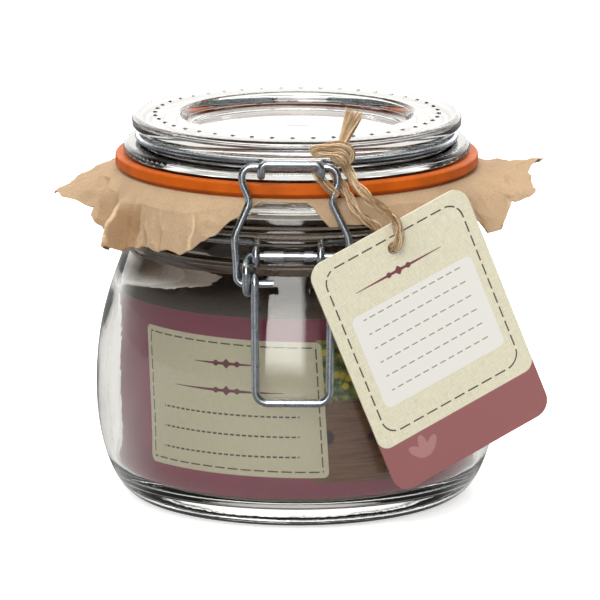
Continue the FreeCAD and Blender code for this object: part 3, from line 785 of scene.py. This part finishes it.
def tug(azimuth):
    """How far the free edge is pulled out and down at an azimuth."""
    out = down = 0.0
    for middle, half_width, push, drop in PAPER_TUGS:
        share = max(0.0, 1.0 - abs(math.degrees(azimuth) - middle) / half_width)
        out += push * share * MM
        down += drop * share * MM
    return out, down


def crease(place, size, seed):
    """Sharp-ridged folds of crumpled paper, from 0 to 1."""
    value = noise.noise(place / size + Vector((seed, 2.3 * seed, 0.7 * seed)))
    return 1.0 - min(1.0, abs(value) * 3.2)


class JAR_OT_paper(bpy.types.Operator):
    """Make the torn and creased kraft paper under the seal"""
    bl_idname = "jar.paper"
    bl_label = "Paper skirt"

    def execute(self, context):
        settings = context.scene.jar
        sheet = bmesh.new()
        sheet.from_mesh(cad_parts["paper_skirt"].data)
        bmesh.ops.remove_doubles(sheet, verts=sheet.verts, dist=0.001 * MM)
        for _ in range(PAPER_PASSES):
            long_edges = [edge for edge in sheet.edges if edge.calc_length() > PAPER_MESH]
            bmesh.ops.subdivide_edges(sheet, edges=long_edges, cuts=1)
            bmesh.ops.triangulate(sheet, faces=sheet.faces)
        bmesh.ops.dissolve_degenerate(sheet, dist=0.01 * MM, edges=sheet.edges)
        bmesh.ops.triangulate(sheet, faces=sheet.faces)
        grip = seal_radius + 0.4 * MM
        for vertex in sheet.verts:
            place = vertex.co.copy()
            radius = Vector((place.x, place.y)).length
            free = min(1.0, max(0.0, (radius - grip) / (5 * MM)))
            if free == 0.0:
                continue
            away = Vector((place.x, place.y, 0)).normalized()
            azimuth = math.atan2(place.x, -place.y)
            pleat = crease(Vector((azimuth * 5.0, radius / (60 * MM), 0)), 1.0, 9.0) - 0.5
            fine = crease(Vector((azimuth * 13.0, radius / (25 * MM), 0)), 1.0, 4.0) - 0.5
            rise = ((pleat * 1.6 + fine * 0.8 + fold(azimuth)) * free + (crease(place, 7 * MM, 5.0) - 0.5) * 0.8)
            tear = noise.noise(place / (1.5 * MM)) * 0.35 + noise.noise(place / (0.6 * MM)) * 0.2
            edge = min(1.0, max(0.0, (radius - grip - 6 * MM) / (6 * MM)))
            lift = away * 0.7 + AXIS_Z * 0.7
            out, down = tug(azimuth)
            vertex.co = (place + lift * rise * free * settings.paper_creases + away * tear * edge * MM
                         + (away * out - AXIS_Z * down) * free * free)
        bmesh.ops.recalc_face_normals(sheet, faces=sheet.faces)
        skirt = finished("paper", sheet, self.kraft(settings), "jar", smooth=False)
        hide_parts("paper_skirt")
        return {"FINISHED"}

    def kraft(self, settings):
        """Unbleached paper with short fibres, faint machine lines, painted shade on the faces of its folds and
        painted highlights on their ridges.
        """
        colour = tuple(settings.paper_colour)
        finish = Finish("kraft_paper", Roughness=0.88, Specular_IOR_Level=0.2)
        place = finish.place()
        flecks = [finish.noise(finish.place(turn=turn, size=(2.6 * MM, 0.3 * MM, 0.3 * MM)), 1.0, 4.0)
                  for turn in ((0, 0, 0.3), (0, 0.4, 1.5), (0.6, 0, 2.4))]
        fleck = finish.math("MAXIMUM", finish.math("MAXIMUM", flecks[0], flecks[1]), flecks[2])
        cloud = finish.noise(place, 0.09, 4.0)
        grain = finish.noise(place, 2.4, 4.0, 0.65)
        shade = finish.mix(finish.spread(cloud, 0.3, 0.7), scaled(colour, 0.86), colour)
        shade = finish.mix(finish.spread(grain, 0.3, 0.7, 0.0, 0.6), shade, scaled(colour, 0.62))
        shade = finish.mix(finish.spread(fleck, 0.62, 0.76, 0.0, 0.5), shade, srgb(156, 118, 80))
        x, y, z = finish.split(place)
        turn = finish.degrees(finish.azimuth(x, y))
        wavy = finish.math("ADD", turn, finish.math("MULTIPLY", finish.noise(place, 0.12, 2.0), 5.0))
        free = finish.spread(z, 83.0, 80.0)
        # painted shade and painted highlights of the folds, fixed in the paper's colour
        for start, end, strength, fold_light_colour in PAPER_FOLD_PAINTED_LIGHT:
            painted_fold_light = finish.both(finish.between(wavy, start, end, 0.35), free)
            shade = finish.mix(finish.math("MULTIPLY", painted_fold_light, strength), shade, fold_light_colour)
        finish.set(Base_Color=shade)
        height = finish.math("ADD", grain, finish.math("MULTIPLY", finish.noise(place, 0.7, 3.0), 0.8))
        finish.bump(height, 0.16 * MM, 0.7)
        return finish.material


# ---------------------------------------------------------------- card sleeve
SLEEVE_CURL = (
    # how the lower edge curls in, as steps inwards and up from the foot of the card, in millimetres
    (0.0, 0.4),
    (0.35, -0.7),
    (1.1, -1.6),
    (2.1, -2.25),
)
SLEEVE_CARD = 0.45 * MM
LAP_WIDTH = 15 * MM
LAP_CARD = 0.4 * MM
LAP_DEPTH = 0.62 * MM
LINEN = srgb(226, 218, 188)
BOARD = srgb(128, 88, 62)
FRUIT = srgb(46, 26, 38)


def flourish(finish, x, y, middle, length):
    """Plain printed ornament: a line that tapers from a diamond to both ends, with two dots."""
    across = finish.math("ABSOLUTE", finish.math("SUBTRACT", x, middle[0]))
    away = finish.math("ABSOLUTE", finish.math("SUBTRACT", y, middle[1]))
    taper = finish.spread(across, 0.0, length, 0.42, 0.08)
    line = finish.both(finish.within(finish.math("SUBTRACT", away, taper)),
                       finish.within(finish.math("SUBTRACT", across, length)))
    diamond = finish.within(finish.math("SUBTRACT", finish.math("ADD", across, away), 1.3))
    dot_across = finish.math("SUBTRACT", across, 2.9)
    dots = finish.within(finish.math("SUBTRACT", finish.hypot(dot_across, away), 0.75))
    return finish.math("MAXIMUM", finish.math("MAXIMUM", line, diamond), dots)


def picture(finish, x, y, low, high):
    """Still life of plain shapes: a board with grain, round dark fruit and a hedge of small yellow flowers."""
    grain = finish.noise(finish.join(finish.math("MULTIPLY", x, 0.1), finish.math("MULTIPLY", y, 1.4)), 1.0, 3.0)
    colour = finish.mix(finish.spread(grain, 0.35, 0.65), BOARD, scaled(BOARD, 0.55))
    flat = finish.join(x, y)
    fruit = finish.add("ShaderNodeTexVoronoi", Vector=flat, Scale=0.13, Randomness=0.7, out="Distance")
    middle = low + 0.42 * (high - low)
    fruit_row = finish.between(y, middle - 6.0, middle + 5.0, 0.8)
    ball = finish.mix(finish.spread(fruit, 0.05, 0.42), srgb(142, 92, 104), FRUIT)
    colour = finish.mix(finish.both(fruit_row, finish.spread(fruit, 0.46, 0.5, 1.0, 0.0)), colour, ball)
    leaves = finish.noise(flat, 0.45, 3.0)
    hedge = finish.mix(finish.spread(leaves, 0.4, 0.6), srgb(72, 92, 46), srgb(150, 158, 84))
    flower = finish.add("ShaderNodeTexVoronoi", Vector=flat, Scale=0.3, Randomness=0.9, out="Distance")
    hedge = finish.mix(finish.spread(flower, 0.26, 0.36, 1.0, 0.0), hedge, srgb(226, 192, 78))
    top = finish.spread(finish.math("ADD", y, finish.math("MULTIPLY", leaves, 6.0)), middle + 8.0, middle + 9.5)
    return finish.mix(top, colour, hedge)


class JAR_OT_sleeve(bpy.types.Operator):
    """Finish the printed card sleeve and close its seam with a glued lap"""
    bl_idname = "jar.sleeve"
    bl_label = "Card sleeve"

    def execute(self, context):
        settings = context.scene.jar
        printed = self.printed(settings)
        turned = [(sleeve_radius, sleeve_top)] + [(sleeve_radius - inwards * MM, sleeve_foot + up * MM)
                                                  for inwards, up in SLEEVE_CURL]
        inside = [(radius - SLEEVE_CARD, height + 0.2 * MM * (step > 1))
                  for step, (radius, height) in enumerate(turned)]
        sheet = bmesh.new()
        corners = [sheet.verts.new((radius, 0, height)) for radius, height in turned + inside[::-1]]
        rim = [sheet.edges.new((corner, corners[step - 1])) for step, corner in enumerate(corners)]
        bmesh.ops.spin(sheet, geom=corners + rim, axis=AXIS_Z, angle=math.tau, steps=128, use_merge=True)
        bmesh.ops.recalc_face_normals(sheet, faces=sheet.faces)
        sleeve = finished("sleeve", sheet, printed, "jar")
        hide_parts("card_sleeve")

        inner = sleeve_radius - LAP_DEPTH
        lap_angle = LAP_WIDTH / inner
        lap = bmesh.new()
        corners = [lap.verts.new((0, inner - depth, height)) for depth, height in (
            (0, sleeve_foot), (LAP_CARD, sleeve_foot), (LAP_CARD, sleeve_top), (0, sleeve_top))]
        face = lap.faces.new(corners)
        bmesh.ops.rotate(lap, verts=lap.verts, matrix=Matrix.Rotation(-lap_angle / 2, 3, "Z"))
        bmesh.ops.spin(lap, geom=[face, *face.edges, *face.verts], axis=AXIS_Z, angle=lap_angle, steps=12)
        bmesh.ops.recalc_face_normals(lap, faces=lap.faces)
        finished("sleeve_lap", lap, printed, "jar", smooth=False)
        return {"FINISHED"}

    def printed(self, settings):
        """Printed outside: a woven label panel with a stitched border, a still life and a plain band."""
        finish = Finish("sleeve_card", Roughness=0.42, Specular_IOR_Level=0.4)
        x, y, z = finish.split(finish.place())
        outer = sleeve_radius / MM
        along = finish.math("MULTIPLY", finish.azimuth(x, y), outer)
        radius = finish.hypot(x, y)
        ground = tuple(settings.sleeve_colour)
        cloud = finish.noise(finish.join(along, z), 0.05, 2.0)
        colour = finish.mix(finish.spread(cloud, 0.3, 0.7), scaled(ground, 0.8), ground)
        band = sleeve_foot / MM + 3.8
        top = sleeve_top / MM
        for start, end in ((6.0, 52.0), (-128.0, -82.0)):
            scene = picture(finish, along, z, band, top - 5.5)
            inside = finish.both(finish.between(along, start, end), finish.between(z, band, top - 5.5))
            colour = finish.mix(inside, colour, scene)
        low = (-41.8, band + 1.8)
        high = (8.6, top - 5.6)
        leaning = finish.math("ADD", along, finish.math("MULTIPLY", finish.math("SUBTRACT", z, 31.0), 0.06))
        rising = finish.math("ADD", z, finish.math("MULTIPLY", finish.math("ADD", along, 17.0), 0.015))
        edge, border = finish.box_edge(leaning, rising, low, high, 1.6)
        weave = finish.linen(along, z, 0.62)
        linen = finish.mix(finish.spread(weave, 0.3, 0.72), scaled(LINEN, 0.78), LINEN)
        panel = finish.mix(finish.stitches(edge, border, 1.5, 2.7, 0.8, 0.34), linen, srgb(70, 56, 50))
        rule = finish.both(finish.ruled(z, 17.2, 5.2, 0.035), finish.between(along, -36.0, 2.0),
                           finish.between(z, 17.4, 33.0), finish.dashes(along, 1.1, 0.5))
        panel = finish.mix(rule, panel, srgb(74, 60, 54))
        for height, length in ((43.4, 9.0), (36.4, 15.0)):
            panel = finish.mix(flourish(finish, along, z, (-17.0, height), length), panel, srgb(116, 58, 70))
        colour = finish.mix(finish.within(edge), colour, panel)
        fibre = finish.noise(finish.place(size=(MM, MM, 0.4 * MM)), 1.4, 4.0)
        plain = finish.mix(finish.spread(fibre, 0.3, 0.7), srgb(108, 94, 82), srgb(146, 130, 114))
        outside = finish.spread(radius, outer - 0.3, outer - 0.2)
        finish.set(Base_Color=finish.mix(outside, plain, colour))
        finish.bump(finish.noise(finish.place(), 2.2, 3.0), 0.04 * MM, 0.5)
        return finish.material


# ---------------------------------------------------------------- gift tag
# middle of the tag's face, and the directions across it and up it
TAG_CENTRE = Vector((35.474, -44.446, 50.2)) * MM
TAG_ACROSS = Vector((0.82673, 0.40322, 0.39234))
TAG_UP = Vector((-0.35263, -0.17199, 0.91982))
LEAVES = (
    # place on the band in millimetres, and lean in radians
    (-14.6, -25.4, 0.75),
    (-12.6, -24.4, 0.0),
    (-10.6, -25.4, -0.75),
)


class JAR_OT_tag(bpy.types.Operator):
    """Finish the gift tag: woven ground, stitched border, ruled panel and a band at its foot"""
    bl_idname = "jar.tag"
    bl_label = "Gift tag"

    def execute(self, context):
        settings = context.scene.jar
        facing = TAG_ACROSS.cross(TAG_UP)
        turn = Matrix((TAG_ACROSS, TAG_UP, facing)).transposed().to_euler()
        finish = Finish("tag_card", Roughness=0.62, Specular_IOR_Level=0.3)
        place = finish.place(location=TAG_CENTRE, turn=turn)
        x, y, depth = finish.split(place)
        ground = tuple(settings.tag_colour)
        weave = finish.linen(x, y, 0.75)
        colour = finish.mix(finish.spread(weave, 0.3, 0.72), scaled(ground, 0.72), ground)
        foot, _ = finish.box_edge(x, y, (-23.75, -20.6), (23.75, 60.0), 3.2)
        band = tuple(settings.band_colour)
        cloth = finish.mix(finish.spread(weave, 0.25, 0.75), scaled(band, 0.9), band)
        sprig = self.sprig(finish, x, y)
        cloth = finish.mix(finish.math("MULTIPLY", sprig, 0.35), cloth, srgb(214, 170, 166))
        colour = finish.mix(finish.within(foot), cloth, colour)
        seam, border = finish.box_edge(x, y, (-20.6, -17.4), (20.6, 30.1), 4.2)
        colour = finish.mix(finish.stitches(seam, border, 0.0, 3.1, 1.1, 0.4), colour, srgb(78, 68, 58))
        colour = finish.mix(flourish(finish, x, y, (-1.0, 21.2), 13.0), colour, srgb(122, 70, 78))
        panel, _ = finish.box_edge(x, y, (-18.0, -10.9), (18.5, 15.5), 1.8)
        white = srgb(236, 235, 229)
        rule = finish.both(finish.ruled(y, -8.9, 4.1, 0.032), finish.between(x, -14.8, 15.6),
                           finish.between(y, -8.9, 15.0), finish.dashes(x, 1.7, 0.9))
        card = finish.mix(rule, white, srgb(150, 146, 128))
        colour = finish.mix(finish.within(panel), colour, card)
        back = finish.mix(finish.spread(weave, 0.3, 0.72), srgb(226, 222, 212), srgb(240, 238, 230))
        front = finish.math("GREATER_THAN", depth, -0.2)
        finish.set(Base_Color=finish.mix(front, back, colour))
        height = finish.math("ADD", weave, finish.math("MULTIPLY", finish.noise(place, 2.0, 2.0), 0.2))
        finish.bump(height, 0.05 * MM, 0.6)
        dress("gift_tag", finish.material)
        return {"FINISHED"}

    def sprig(self, finish, x, y):
        """Three plain leaves on the band."""
        leaves = None
        for across, up, lean in LEAVES:
            dx = finish.math("SUBTRACT", x, across)
            dy = finish.math("SUBTRACT", y, up)
            along = finish.math("ADD", finish.math("MULTIPLY", dx, -math.sin(lean)),
                                finish.math("MULTIPLY", dy, math.cos(lean)))
            aside = finish.math("ADD", finish.math("MULTIPLY", dx, math.cos(lean)),
                                finish.math("MULTIPLY", dy, math.sin(lean)))
            squares = [finish.math("MULTIPLY", value, value) for value in (
                finish.math("DIVIDE", along, 2.9), finish.math("DIVIDE", aside, 1.25))]
            leaf = finish.within(finish.math("SUBTRACT", finish.math("ADD", *squares), 1.0), 0.08)
            leaves = leaf if leaves is None else finish.math("MAXIMUM", leaves, leaf)
        return leaves


class JAR_PT_panel(bpy.types.Panel):
    """Pieces of the jar in the sidebar"""
    bl_label = "Preserving Jar"
    bl_idname = "JAR_PT_panel"
    bl_space_type = "VIEW_3D"
    bl_region_type = "UI"
    bl_category = "Jar"

    def draw(self, context):
        column = self.layout.column(align=True)
        for operator in OPERATORS:
            column.operator(operator.bl_idname)


SETTINGS = (StageSettings, JarSettings)
OPERATORS = (JAR_OT_stage, JAR_OT_twine, JAR_OT_glass, JAR_OT_seal, JAR_OT_clasp, JAR_OT_paper, JAR_OT_sleeve,
             JAR_OT_tag)


def register():
    for made in (*SETTINGS, *OPERATORS, JAR_PT_panel):
        bpy.utils.register_class(made)
    bpy.types.Scene.jar_stage = PointerProperty(type=StageSettings)
    bpy.types.Scene.jar = PointerProperty(type=JarSettings)


def unregister():
    del bpy.types.Scene.jar
    del bpy.types.Scene.jar_stage
    for made in reversed((*SETTINGS, *OPERATORS, JAR_PT_panel)):
        bpy.utils.unregister_class(made)


def main():
    register()
    bpy.ops.jar.stage()
    bpy.ops.jar.twine()
    bpy.ops.jar.glass()
    bpy.ops.jar.seal()
    bpy.ops.jar.clasp()
    bpy.ops.jar.paper()
    bpy.ops.jar.sleeve()
    bpy.ops.jar.tag()


if __name__ == "__main__":
    main()
